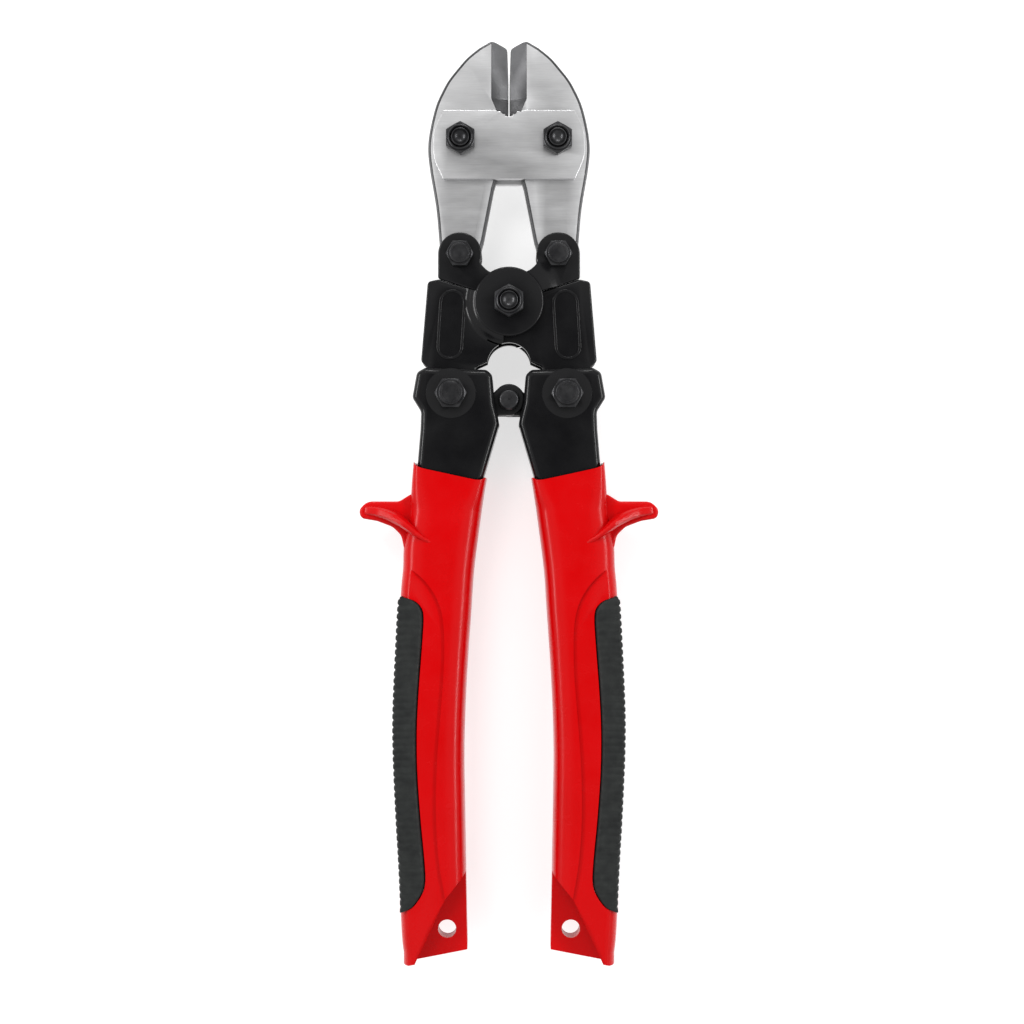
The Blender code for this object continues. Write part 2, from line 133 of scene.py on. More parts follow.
def soften(piece, width, segments=3, angle=32):
    """Rounds every edge that is sharper than an angle."""
    return apply(piece, "BEVEL", width=width * MM, segments=segments, limit_method="ANGLE",
                 angle_limit=math.radians(angle), miter_outer="MITER_ARC", harden_normals=False)


def carve(piece, *tools, how="DIFFERENCE"):
    for tool in tools:
        apply(piece, "BOOLEAN", operation=how, object=tool)
        bpy.data.objects.remove(tool, do_unlink=True)
    return piece


def circle_points(x, y, radius, start, end, steps):
    turn = [math.radians(start + (end - start) * i / steps) for i in range(steps + 1)]
    return [(x + radius * math.cos(a), y + radius * math.sin(a)) for a in turn]


def flowing(points, steps=6):
    """A smooth open line through the given points."""
    full = [points[0]] + list(points) + [points[-1]]
    line = []
    for a, b, c, d in zip(full, full[1:], full[2:], full[3:]):
        for i in range(steps):
            t = i / steps
            line.append(tuple(0.5 * (2 * q + (r - p) * t + (2 * p - 5 * q + 4 * r - s) * t * t
                                     + (3 * q - p - 3 * r + s) * t ** 3)
                              for p, q, r, s in zip(a, b, c, d)))
    return line + [points[-1]]


def rounded(corners):
    """A closed outline; a corner given as (x, y, radius) is rounded to about that radius."""
    steps = 6
    outline = []
    for i, corner in enumerate(corners):
        here = Vector(corner[:2])
        if len(corner) == 2:
            outline.append(tuple(here))
            continue
        back = Vector(corners[i - 1][:2]) - here
        ahead = Vector(corners[(i + 1) % len(corners)][:2]) - here
        half = back.angle(ahead) / 2
        reach = min(corner[2] / math.tan(half), back.length * 0.48, ahead.length * 0.48)
        start, end = here + back.normalized() * reach, here + ahead.normalized() * reach
        for k in range(steps + 1):
            t = k / steps
            blend = start * (1 - t) ** 2 + here * 2 * t * (1 - t) + end * t * t
            outline.append(tuple(blend))
    return outline


def plate(name, outline, low, high):
    """A flat plate of any outline between two heights."""
    bpy.ops.object.select_all(action="DESELECT")
    bpy.ops.mesh.primitive_circle_add(vertices=len(outline), radius=0.01, fill_type="NGON")
    piece = bpy.context.object
    piece.name = name
    for vertex, (x, y) in zip(piece.data.vertices, outline):
        vertex.co = at(x, y, low)
    bpy.ops.object.mode_set(mode="EDIT")
    bpy.ops.mesh.select_all(action="SELECT")
    rise = {"value": (0, 0, (high - low) * MM)}
    bpy.ops.mesh.extrude_region_move(TRANSFORM_OT_translate=rise)
    bpy.ops.mesh.select_all(action="SELECT")
    bpy.ops.mesh.normals_make_consistent(inside=False)
    bpy.ops.object.mode_set(mode="OBJECT")
    return piece


def rod(name, pin, radius, low, high, sides=64, top_radius=None):
    """A round bar, or a tapered one, that stands across the tool."""
    bpy.ops.object.select_all(action="DESELECT")
    top = radius if top_radius is None else top_radius
    bpy.ops.mesh.primitive_cone_add(vertices=sides, radius1=radius * MM, radius2=top * MM,
                                    depth=(high - low) * MM, location=at(*pin, (low + high) / 2))
    piece = bpy.context.object
    piece.name = name
    bpy.ops.object.transform_apply(location=True, rotation=True, scale=True)
    return piece


def drill(piece, pin, radius=HOLE):
    return carve(piece, rod("drill", pin, radius, -THROUGH, THROUGH))


def smooth(piece, angle):
    only(piece)
    bpy.ops.object.shade_smooth_by_angle(angle=math.radians(angle))


def turned_over(piece, name):
    """The matching piece on the other side, turned half round about the long axis."""
    twin = piece.copy()
    twin.data = piece.data.copy()
    twin.name = name
    scene.collection.objects.link(twin)
    for vertex in twin.data.vertices:
        vertex.co.x = 2 * HUB.x - vertex.co.x
        vertex.co.z = 2 * HUB.z - vertex.co.z
    return twin


def fit(piece, node, material, angle=38):
    """Gives a finished piece its material and puts it in the place of its CAD node."""
    piece.data.materials.clear()
    piece.data.materials.append(material)
    smooth(piece, angle)
    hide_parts(node)
    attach(piece, frame["nodes"][node]["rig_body"])


class Finish:
    """A material in the making: one shader, and the patterns that feed it."""

    def __init__(self, name, colour, roughness, metallic=0.0):
        self.material = bpy.data.materials.new(name)
        self.material.use_nodes = True
        self.tree = self.material.node_tree
        self.shader = self.tree.nodes["Principled BSDF"]
        self.place = self.tree.nodes.new("ShaderNodeTexCoord")
        self.set("Base Color", (*colour, 1.0))
        self.set("Roughness", roughness)
        self.set("Metallic", metallic)
        self.height = None

    def set(self, socket, value):
        self.shader.inputs[socket].default_value = value

    def noise(self, scale, stretch=(1, 1, 1), detail=4.0, rough=0.55):
        mapping = self.tree.nodes.new("ShaderNodeMapping")
        mapping.inputs["Scale"].default_value = stretch
        pattern = self.tree.nodes.new("ShaderNodeTexNoise")
        pattern.inputs["Scale"].default_value = scale
        pattern.inputs["Detail"].default_value = detail
        pattern.inputs["Roughness"].default_value = rough
        self.tree.links.new(self.place.outputs["Object"], mapping.inputs["Vector"])
        self.tree.links.new(mapping.outputs["Vector"], pattern.inputs["Vector"])
        return pattern.outputs["Fac"]

    def ramp(self, source, stops):
        node = self.tree.nodes.new("ShaderNodeValToRGB")
        elements = node.color_ramp.elements
        for i, (place, shade) in enumerate(stops):
            element = elements[i] if i < 2 else elements.new(place)
            element.position = place
            element.color = (*shade, 1.0) if isinstance(shade, tuple) else (shade,) * 3 + (1.0,)
        self.tree.links.new(source, node.inputs["Fac"])
        return node.outputs["Color"]

    def multiply(self, first, second, factor):
        node = self.tree.nodes.new("ShaderNodeMix")
        node.data_type = "RGBA"
        node.blend_type = "MULTIPLY"
        node.inputs["Factor"].default_value = factor
        self.tree.links.new(first, node.inputs[6])
        self.tree.links.new(second, node.inputs[7])
        return node.outputs[2]

    def feed(self, socket, source):
        self.tree.links.new(source, self.shader.inputs[socket])

    def bump(self, source, distance, strength=1.0):
        node = self.tree.nodes.new("ShaderNodeBump")
        node.inputs["Distance"].default_value = distance
        node.inputs["Strength"].default_value = strength
        self.tree.links.new(source, node.inputs["Height"])
        if self.height is not None:
            self.tree.links.new(self.height, node.inputs["Normal"])
        self.height = node.outputs["Normal"]
        self.tree.links.new(self.height, self.shader.inputs["Normal"])


def ground_steel(name, light, dark, offset):
    """Steel off the surface grinder: short lines across the tool over soft cloudy patches."""
    steel = Finish(name, light, 0.36, 1.0)
    clouds = steel.ramp(steel.noise(60, (1, 1.3, 1), 3.0, 0.5), [(0.30, dark), (0.70, light)])
    lines = steel.ramp(steel.noise(1500 + offset, (0.10, 2.2, 1), 3.0, 0.7),
                       [(0.25, 0.82), (0.75, 1.0)])
    steel.feed("Base Color", steel.multiply(clouds, lines, 0.8))
    shine = steel.noise(160, (0.4, 1.6, 1), 4.0)
    steel.feed("Roughness", steel.ramp(shine, [(0.3, 0.33), (0.7, 0.42)]))
    steel.bump(steel.noise(1700, (0.08, 2.4, 1), 3.0, 0.7), 0.00002, 0.5)
    return steel.material


JAW_STEEL = ground_steel("jaw_ground_steel", (0.70, 0.70, 0.705), (0.60, 0.60, 0.605), 0)
# Painted shade: a darker copy of the ground steel for the sides, chamfers and bevels of the jaws.
SHADED_BEVEL_STEEL = ground_steel("bevel_painted_shade_steel", (0.095, 0.095, 0.098), (0.070, 0.070, 0.072), 300)
BEVEL_DEPTH, BEVEL_WIDTH = 3.5, 5.6
BEVEL_FOOT = 67.9       # where the bevel begins to narrow towards the jaw plates
TAPER_FOOT = 62.6       # where it ends
TAPER_RISE = 0.9        # how much shallower it is there
TAIL_RADIUS = 6.6
JAW_CHAMFER = 0.95
GROUND_FLAT = 0.93      # a face whose normal has less height than this is a side or a slope


def make_jaw():
    outer = flowing([(9.9, TIP - 2.4), (13.9, TIP - 5.7), (17.3, TIP - 9.6), (20.1, TIP - 13.2),
                     (22.2, TIP - 17.0), (24.0, TIP - 21.0), (25.4, TIP - 26.0),
                     (26.5, JAW_PIN[1] + 1.6), (26.8, JAW_PIN[1] - 3.7),
                     (26.0, JAW_PIN[1] - 10.7), (24.1, LINK[1] + 15.7), (23.2, LINK[1] + 6.0)], 4)
    tail = circle_points(*LINK, TAIL_RADIUS, 5, -185, 24)
    inner = [(8.4, LINK[1] + 4.7), (5.0, LINK[1] + 22.1), (1.5, JAW_PIN[1] - 3.7),
             (0.6, JAW_PIN[1] + 4.3), (0.2, JAW_PIN[1] + 10.3), (0.2, TIP - 14.0), (0.5, TIP - 2.1)]
    jaw = plate("jaw_right_blade", [(5.8, TIP)] + outer + tail + inner, -JAW_TOP, JAW_TOP)
    soften(jaw, JAW_CHAMFER, 2, 50)
    for side in (1, -1):
        wedge = plate("wedge", [(-2.0, BEVEL_FOOT), (6.0, BEVEL_FOOT), (6.0, TIP + 2),
                                (-2.0, TIP + 2)], 0, 9)
        taper = plate("taper", [(-2.0, TAPER_FOOT), (3.7, TAPER_FOOT), (6.0, BEVEL_FOOT + 0.05),
                                (-2.0, BEVEL_FOOT + 0.05)], 0, 9)
        for vertex in list(wedge.data.vertices) + list(taper.data.vertices):
            x, y, z = (vertex.co - HUB) / MM
            if z < 1.0:
                down = JAW_TOP - BEVEL_DEPTH * (BEVEL_WIDTH + 0.3 - x) / BEVEL_WIDTH
                vertex.co.z = HUB.z + (down if y > BEVEL_FOOT - 1 else down + TAPER_RISE) * MM
            vertex.co.z = HUB.z + side * (vertex.co.z - HUB.z)
        for tool in (wedge, taper):
            only(tool)
            bpy.ops.object.mode_set(mode="EDIT")
            bpy.ops.mesh.select_all(action="SELECT")
            bpy.ops.mesh.normals_make_consistent(inside=False)
            bpy.ops.object.mode_set(mode="OBJECT")
            carve(jaw, tool)
    drill(jaw, JAW_PIN)
    drill(jaw, LINK)
    return jaw


def paint_shade_on_sides(jaw):
    """Paints shade on the sides, the chamfers and the slopes to the cutting edge with a darker copy
    of the steel.
    """
    jaw.data.materials.append(SHADED_BEVEL_STEEL)
    # Every face that tilts away from straight up gets the painted shade.
    for face in jaw.data.polygons:
        if abs(face.normal.z) < GROUND_FLAT:
            face.material_index = 1


right_jaw = make_jaw()
left_jaw = turned_over(right_jaw, "jaw_left_blade")
fit(right_jaw, "jaw_right", JAW_STEEL)
fit(left_jaw, "jaw_left", JAW_STEEL)
paint_shade_on_sides(right_jaw)
paint_shade_on_sides(left_jaw)


# Jaw plates
# Two ground-steel plates, one on each face, that hold both jaws between them on the jaw bolts.
# The top edge has a round notch where the roots of the cutting edges meet.

PLATE_STEEL = ground_steel("plate_ground_steel", (0.67, 0.67, 0.675), (0.58, 0.58, 0.585), 90)
NOTCH_RADIUS = 3.1
PLATE_EDGE = 0.45


def plate_outline():
    top, bottom = 63.3, 40.6
    side = [(3.9, top, 1.0), (21.7, top, 0.6), (24.9, top - 7.0, 9.0), (24.9, bottom + 7.0, 9.0),
            (21.7, bottom, 0.6)]
    notch = circle_points(0, top + 1.0, NOTCH_RADIUS, 335, 205, 16)[::-1]
    right = rounded([(0.0, bottom)] + side[::-1])[1:]
    return right[:-1] + notch[::-1] + [(-x, y) for x, y in right[::-1][1:]]


for node in ("jaw_plate_front", "jaw_plate_back"):
    cheek = plate(node + "_cheek", plate_outline(), face_of(node, -1), face_of(node))
    soften(cheek, PLATE_EDGE, 2, 50)
    drill(cheek, JAW_PIN)
    drill(cheek, (-JAW_PIN[0], JAW_PIN[1]))
    fit(cheek, node, PLATE_STEEL)


# Bolts, nuts and the toggle rivet
# Hexagon bolts with their thread ends turned to a cup, and nuts with a round collar, all in
# oiled black oxide. The rivet through the toggle has low tapered heads with a dimple.

def black_oxide():
    oxide = Finish("black_oxide", (0.028, 0.028, 0.030), 0.30, 0.75)
    wear = oxide.noise(260, (1, 1, 1), 5.0, 0.6)
    oxide.feed("Base Color", oxide.ramp(wear, [(0.35, (0.022, 0.022, 0.024)),
                                               (0.72, (0.055, 0.055, 0.057))]))
    oxide.feed("Roughness", oxide.ramp(oxide.noise(420), [(0.3, 0.24), (0.7, 0.36)]))
    oxide.bump(oxide.noise(1500, detail=2.0), 0.00003, 0.4)
    return oxide.material


OXIDE = black_oxide()
GAP = 0.3               # clearance between neighbouring pieces
SHANK_RADIUS = 3.0
THREAD_END = 4.2        # how far the shank reaches past the seat of its nut
HEAD_HEIGHT, CROWN_HEIGHT, DISH_FLOOR = 2.4, 3.3, 3.1
NUT_HEIGHT, COLLAR_HEIGHT = 3.1, 4.1


def hexagon(name, pin, radius, low, high, turn):
    """A hexagon with the corners of its outer face turned down to a cone."""
    blank = plate(name, circle_points(*pin, radius, turn, turn + 300, 5), low, high)
    cone = rod("turning", pin, radius + 4.6, low - 1.0, high + 0.02, 64, radius * 0.84)
    carve(blank, cone, how="INTERSECT")
    return soften(blank, 0.22, 2, 24)


def make_bolt(name, pin, seat, radius, cup, turn):
    """A bolt with its head on top, and its thread's end turned to a cup below."""
    base = seat + GAP
    bolt = hexagon(name, pin, radius, base, base + HEAD_HEIGHT, turn)
    crown = rod("crown", pin, radius * 0.76, seat + 1.8, base + CROWN_HEIGHT, 48, radius * 0.71)
    carve(bolt, soften(crown, 0.2, 3), how="UNION")
    carve(bolt, rod("dish", pin, radius * 0.52, base + DISH_FLOOR, base + 3.5, 48, radius * 0.60))
    end = -seat - GAP - THREAD_END
    shank = rod("shank", pin, SHANK_RADIUS, end, seat + 1.5, 48)
    soften(shank, 0.35, 2)
    bpy.ops.mesh.primitive_uv_sphere_add(segments=32, ring_count=16, radius=cup * MM,
                                         location=at(*pin, end - cup * 0.45))
    ball = bpy.context.object
    bpy.ops.object.transform_apply(location=True, rotation=True, scale=True)
    carve(shank, ball)
    return carve(bolt, shank, how="UNION")


def make_nut(name, pin, seat, radius, turn):
    """A nut on its seat, with a round collar on its outer face."""
    base = seat + GAP
    nut = hexagon(name, pin, radius, base, base + NUT_HEIGHT, turn)
    collar = rod("collar", pin, radius * 0.83, seat + 1.0, base + COLLAR_HEIGHT, 64, radius * 0.76)
    carve(nut, soften(collar, 0.5, 4), how="UNION")
    carve(nut, rod("countersink", pin, 3.2, base + 3.5, base + 4.15, 48, 3.75))
    return drill(nut, pin)


def flip(piece):
    """Turns a piece over in its own place, so that its head is on the other face."""
    pin_x = sum(v.co.x for v in piece.data.vertices) / len(piece.data.vertices)
    for vertex in piece.data.vertices:
        vertex.co.z = 2 * HUB.z - vertex.co.z
        vertex.co.x = 2 * pin_x - vertex.co.x
    return piece


PLATE_SEAT = face_of("jaw_plate_front")
LEVER_SEAT = 6.8
HANDLE_SEAT = face_of("handle_core_left")
HEX, LINK_HEX = 5.4, 4.65
CUP, CENTRE_CUP = 2.9, 3.1
CORNER_AHEAD = 30       # degrees that turn a corner of the hexagon towards the jaws
for kind, pin, seat, radius, head_up in (("jaw", JAW_PIN, PLATE_SEAT, HEX, False),
                                         ("link", LINK, LEVER_SEAT, LINK_HEX, True),
                                         ("handle", (-HANDLE_PIN[0], HANDLE_PIN[1]), HANDLE_SEAT,
                                          HEX, True)):
    for side, place in (("right", pin), ("left", (-pin[0], pin[1]))):
        turn = 0 if head_up else CORNER_AHEAD
        screw = make_bolt(f"{kind}_screw_{side}", place, seat, radius, CUP, turn)
        ring = make_nut(f"{kind}_ring_{side}", place, seat, radius, turn)
        fit(screw if head_up else flip(screw), f"{kind}_bolt_{side}", OXIDE)
        fit(flip(ring) if head_up else ring, f"{kind}_nut_{side}", OXIDE)

centre_screw = make_bolt("centre_screw", (0, 0), HANDLE_SEAT, HEX, CENTRE_CUP, CORNER_AHEAD)
fit(flip(centre_screw), "centre_bolt", OXIDE)
fit(make_nut("centre_ring", (0, 0), HANDLE_SEAT, HEX, CORNER_AHEAD), "centre_nut", OXIDE)

RIVET_RADIUS, RIVET_HEAD, RIVET_CROWN = 2.0, 3.72, 2.9
RIVET_RISE = 1.35
rivet = rod("toggle_pin", TOGGLE, RIVET_RADIUS, -LEVER_SEAT - 0.5, LEVER_SEAT + 0.5, 32)
for side in (1, -1):
    ends = sorted((side * LEVER_SEAT, side * (LEVER_SEAT + RIVET_RISE)))
    radii = (RIVET_HEAD, RIVET_CROWN)[::side]
    head = rod("head", TOGGLE, radii[0], *ends, 48, radii[1])
    soften(head, 0.4, 3)
    dimple = sorted((side * (LEVER_SEAT + 1.0), side * (LEVER_SEAT + 1.6)))
    tip = (0.1, 0.8)[::side]
    carve(head, rod("dimple", TOGGLE, tip[0], *dimple, 24, tip[1]))
    carve(rivet, head, how="UNION")
fit(rivet, "toggle_rivet", OXIDE)


# Centre bush
# A turned steel spacer round the centre bolt, which keeps the levers' inner plates apart.

BUSH_RADIUS = 8.0
bush = rod("centre_spacer", (0, 0), BUSH_RADIUS, -JAW_TOP, JAW_TOP)
drill(bush, (0, 0))
soften(bush, 0.3, 2)
fit(bush, "centre_bush", JAW_STEEL)


# Levers
# Each lever is folded and welded plate in gloss black paint. The left one's disc lies in front
# and the right one's arm passes under it. An oblong rib stands on each body.

def black_paint():
    paint = Finish("black_gloss_paint", (0.004, 0.004, 0.005), 0.22)
    paint.set("Specular IOR Level", 0.26)
    paint.feed("Base Color", paint.ramp(paint.noise(90), [(0.3, (0.003, 0.003, 0.0035)),
                                                          (0.8, (0.006, 0.006, 0.0065))]))
    paint.feed("Roughness", paint.ramp(paint.noise(140), [(0.3, 0.18), (0.7, 0.25)]))
    paint.bump(paint.noise(420, detail=2.0), 0.00004, 0.25)
    paint.bump(paint.noise(1600, detail=2.0), 0.00001, 0.3)
    return paint.material


PAINT = black_paint()


def oblong(name, top, bottom, width, low, high):
    """A slot-shaped solid from one point to another."""
    (x0, y0), (x1, y1) = top, bottom
    lean = math.degrees(math.atan2(y0 - y1, x0 - x1))
    outline = circle_points(x0, y0, width / 2, lean - 90, lean + 90, 16)
    outline += circle_points(x1, y1, width / 2, lean + 90, lean + 270, 16)
    return plate(name, outline, low, high)


def turned(name, pin, profile):
    """A solid turned round a pin, through (radius, height) steps from the bottom up."""
    bpy.ops.object.select_all(action="DESELECT")
    bpy.ops.mesh.primitive_circle_add(vertices=72, radius=profile[0][0] * MM, fill_type="NGON",
                                      location=at(*pin, profile[0][1]))
    piece = bpy.context.object
    piece.name = name
    bpy.ops.object.transform_apply(location=True, rotation=True, scale=True)
    bpy.ops.object.mode_set(mode="EDIT")
    for (radius, height), (wider, higher) in zip(profile, profile[1:]):
        step = {"value": (0, 0, (higher - height) * MM)}
        bpy.ops.mesh.extrude_region_move(TRANSFORM_OT_translate=step)
        growth = wider / radius
        bpy.ops.transform.resize(value=(growth, growth, 1), center_override=at(*pin))
    bpy.ops.mesh.select_all(action="SELECT")
    bpy.ops.mesh.normals_make_consistent(inside=False)
    bpy.ops.object.mode_set(mode="OBJECT")
    return piece


DISC = 11.4
EAR_RADIUS, TONGUE_RADIUS = 7.2, 8.0
FRONT_INNER, BACK_INNER = -1.8, 2.4     # x at which the front and the back plate of a body end
SWEPT = 14.6            # radius that the other lever's body needs under the disc
THROAT, THROAT_RADIUS = (0, -20.5), 7.2
RIB_TOP, RIB_FOOT = (-18.6, -0.2), (-19.5, -14.6)
RIB_OUTER, RIB_INNER, RIB_HEIGHT = 8.9, 6.9, 0.28
FRONT_EDGE, BACK_EDGE = 0.45, 0.7
INNER_LOW, INNER_HIGH = 4.3, 6.8
OUTER_LOW, OUTER_HIGH = 7.1, 9.6
EAR_RISE = [(19.0, INNER_HIGH - 0.3), (18.6, INNER_HIGH - 0.02), (17.6, INNER_HIGH + 0.10),
            (16.6, INNER_HIGH + 0.42), (15.4, INNER_HIGH + 1.15), (14.0, INNER_HIGH + 1.60),
            (12.9, INNER_HIGH + 1.97), (11.8, INNER_HIGH + 2.17), (10.6, INNER_HIGH + 2.23)]
BODY_RISE = [(15.4, INNER_HIGH - 0.3), (15.0, INNER_HIGH - 0.03), (14.3, INNER_HIGH + 0.14),
             (13.6, INNER_HIGH + 0.62), (12.9, INNER_HIGH + 1.32), (12.2, INNER_HIGH + 2.00),
             (11.4, INNER_HIGH + 2.46), (10.6, INNER_HIGH + 2.68), (9.8, INNER_HIGH + 2.76)]


def lever_body(inner):
    """The body of the left lever with the tongue that reaches into the handle."""
    tongue = circle_points(*HANDLE_PIN, TONGUE_RADIUS, 180, 360, 20)
    return rounded([(-4.0, 1.28), (-23.4, 7.50), (-26.8, 6.8, 1.6), (-29.0, -19.5, 1.8),
                    (-27.1, -21.5)]) + tongue + [(-11.1, -21.5), (-6.6, -19.5), (inner, -15.5),
                                                 (inner, -6.0)]


def lever_ear():
    rim = circle_points(*LINK, EAR_RADIUS, 0, 200, 28)
    hollow = flowing([rim[-1], (9.0, 12.4), (7.3, 10.7), (5.9, 9.9)], 4)[1:]
    return [(4.0, 1.34), (LINK[0] + EAR_RADIUS, 7.85)] + rim + hollow + [(3.0, 6.0)]


def swing_space():
    """What the other lever sweeps under this one's disc."""
    wedge = [(0.0, 0.0)] + circle_points(0, 0, SWEPT, 240, 300, 12)
    sector = plate("sector", wedge, 0, OUTER_LOW)
    return rod("swing", (0, 0), DISC + GAP, 0, OUTER_LOW), sector


def make_lever():
    lever = rod("lever_left_forging", (0, 0), DISC, OUTER_LOW, OUTER_HIGH, 96)
    soften(lever, 0.55, 3)
    for outline, profile in ((lever_body(FRONT_INNER), BODY_RISE), (lever_ear(), EAR_RISE)):
        rise = turned("rise", (0, 0), profile)
        carve(rise, plate("bounds", outline, INNER_LOW, 12), how="INTERSECT")
        arm = soften(plate("arm", outline, INNER_LOW, INNER_HIGH), FRONT_EDGE, 3, 40)
        carve(arm, rise, how="UNION")
        carve(arm, *swing_space())
        carve(lever, arm, how="UNION")
    back = plate("back", lever_body(BACK_INNER), -INNER_HIGH, -INNER_LOW)
    soften(back, BACK_EDGE, 4, 40)
    hub = soften(rod("hub", (0, 0), DISC, -INNER_HIGH, -INNER_LOW, 96), 0.5, 2)
    ear = soften(plate("ear", lever_ear(), -INNER_HIGH, -INNER_LOW), BACK_EDGE, 4, 40)
    web = plate("web", [(-26.75, 6.0), (-28.9, -18.9), (-26.4, -18.9), (-24.3, 6.0)], -6.1, 6.1)
    carve(lever, back, hub, ear, web, how="UNION")
    carve(lever, rod("throat", THROAT, THROAT_RADIUS, -THROUGH, THROUGH))
    for pin in ((0, 0), LINK, HANDLE_PIN):
        drill(lever, pin)
    for low, high in ((INNER_HIGH - 0.6, INNER_HIGH + RIB_HEIGHT),
                      (-INNER_HIGH - RIB_HEIGHT, -INNER_HIGH + 0.6)):
        rib = oblong("rib", RIB_TOP, RIB_FOOT, RIB_OUTER, low, high)
        carve(rib, oblong("inside", RIB_TOP, RIB_FOOT, RIB_INNER, low - 0.5, high + 0.5))
        carve(lever, soften(rib, 0.26, 3), how="UNION")
    return lever


left_lever = make_lever()
right_lever = turned_over(left_lever, "lever_right_forging")
fit(left_lever, "lever_left", PAINT, 32)
fit(right_lever, "lever_right", PAINT, 32)


# Handle steels
# Folded channels in the same black paint. The head of each one straddles its lever, carries the
# handle bolt and one pair of toggle ears, and closes to a box that runs on into the grip.

BOX_END = -60.0
OUTER = HANDLE_SEAT
WALL = 2.5
TOGGLE_EAR = 5.2
BEND_RADIUS = 1.9
BOSS_RADIUS, BOSS_HEIGHT = 8.2, 0.14
TANG_END = (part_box("handle_core_left")[0][1] - HUB.y) / MM
TANG_HALF = 5.0
FRONT_LEAF, BACK_LEAF = (4.0, 6.5), (-3.7, -1.2)
TIGHT_HOLE, LOOSE_HOLE = 2.3, 3.6       # for the toggle rivet


def core_corners():
    return [(-7.3, -22.4, 2.4), (-27.6, -21.7, 2.4), (-30.3, -23.2, 2.4), (-31.8, -31.6, 2.4),
            (-28.9, -36.2, 3.0), (-29.1, -42.0, 5.0), (-30.6, BOX_END), (-9.0, BOX_END),
            (-3.2, -40.2, 2.6), (-3.7, -37.6, 3.0), (-4.8, -33.2, 5.0), (-5.5, -24.1, 2.4)]


def toggle_ear(low, high):
    rim = circle_points(*TOGGLE, TOGGLE_EAR, -90, 125, 24)
    outline = [(-7.5, TOGGLE[1] - TOGGLE_EAR)] + rim + [(-7.5, TOGGLE[1])]
    return soften(plate("ear", outline, low, high), 0.5, 3)


def make_core(name, ear_hole):
    core = plate(name, rounded(core_corners()), -OUTER, OUTER)
    soften(core, BEND_RADIUS, 6, 50)
    for low, high in ((OUTER - 0.4, OUTER + BOSS_HEIGHT), (-OUTER - BOSS_HEIGHT, -OUTER + 0.4)):
        boss = rod("boss", HANDLE_PIN, BOSS_RADIUS, low, high, 96)
        carve(core, soften(boss, 0.12, 2), how="UNION")
    hollow = OUTER - WALL
    carve(core, plate("cavity", [(-45.0, -10.0), (-45.0, -36.6), (-26.6, -37.4), (-28.0, -57.5),
                                 (-11.6, -57.5), (-9.2, -41.0), (-9.2, -10.0)], -hollow, hollow))
    carve(core, plate("cavity", [(-6.7, -10.0), (-6.7, -38.6), (-4.4, -40.6), (6.0, -46.0),
                                 (6.0, -10.0)], -hollow, hollow))
    carve(core, toggle_ear(*FRONT_LEAF), toggle_ear(*BACK_LEAF), how="UNION")
    tang = plate("tang", [(-10.5, BOX_END + 0.5), (-28.4, BOX_END + 0.5), (-25.4, -90.7),
                          (-25.0, TANG_END), (-18.0, TANG_END), (-16.4, -103.7)],
                 -TANG_HALF, TANG_HALF)
    carve(tang, plate("slot", [(-40.0, -64.0), (-40.0, TANG_END - 9), (-20.5, TANG_END - 9),
                               (-20.5, -64.0)], -WALL, WALL))
    carve(core, tang, how="UNION")
    drill(core, HANDLE_PIN)
    return drill(core, TOGGLE, ear_hole)


left_core = make_core("handle_steel_left", TIGHT_HOLE)
loose_core = make_core("loose_steel", LOOSE_HOLE)
right_core = turned_over(loose_core, "handle_steel_right")
bpy.data.objects.remove(loose_core, do_unlink=True)
fit(left_core, "handle_core_left", PAINT, 32)
fit(right_core, "handle_core_right", PAINT, 32)


# Grip sleeves
# Thick red vinyl moulded over the handle steel, with a hand guard, a crease that runs down the
# face, a thin tab with a hanging hole at the end, and a recess for the rubber insert.

def red_vinyl():
    vinyl = Finish("red_vinyl", (0.43, 0.0006, 0.001), 0.24)
    vinyl.set("Specular IOR Level", 0.16)
    reds = [(0.3, (0.46, 0.0005, 0.001)), (0.75, (0.49, 0.0009, 0.002))]
    vinyl.feed("Base Color", vinyl.ramp(vinyl.noise(45, detail=3.0), reds))
    vinyl.feed("Roughness", vinyl.ramp(vinyl.noise(120), [(0.3, 0.20), (0.7, 0.30)]))
    vinyl.bump(vinyl.noise(90, detail=2.0), 0.00015, 0.20)
    vinyl.bump(vinyl.noise(1800, detail=2.0), 0.00002, 0.35)
    return vinyl.material


VINYL = red_vinyl()
SLEEVE_TOP = -50.5
END = (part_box("sleeve_left")[0][1] - HUB.y) / MM
HALF = face_of("sleeve_left")
FACE_INSET = 0.15       # how much lower than HALF the faces of the grip lie
GUARD, GUARD_HALF = -65.7, 7.6
TAB_HALF = 3.5
HANG_HOLE = 3.0


def read_line(points, y):
    """x of a line of (x, y) points, listed downwards, at a height y."""
    if y >= points[0][1]:
        return points[0][0]
    for (x0, y0), (x1, y1) in zip(points, points[1:]):
        if y >= y1:
            return x0 + (x1 - x0) * (y0 - y) / (y0 - y1)
    return points[-1][0]


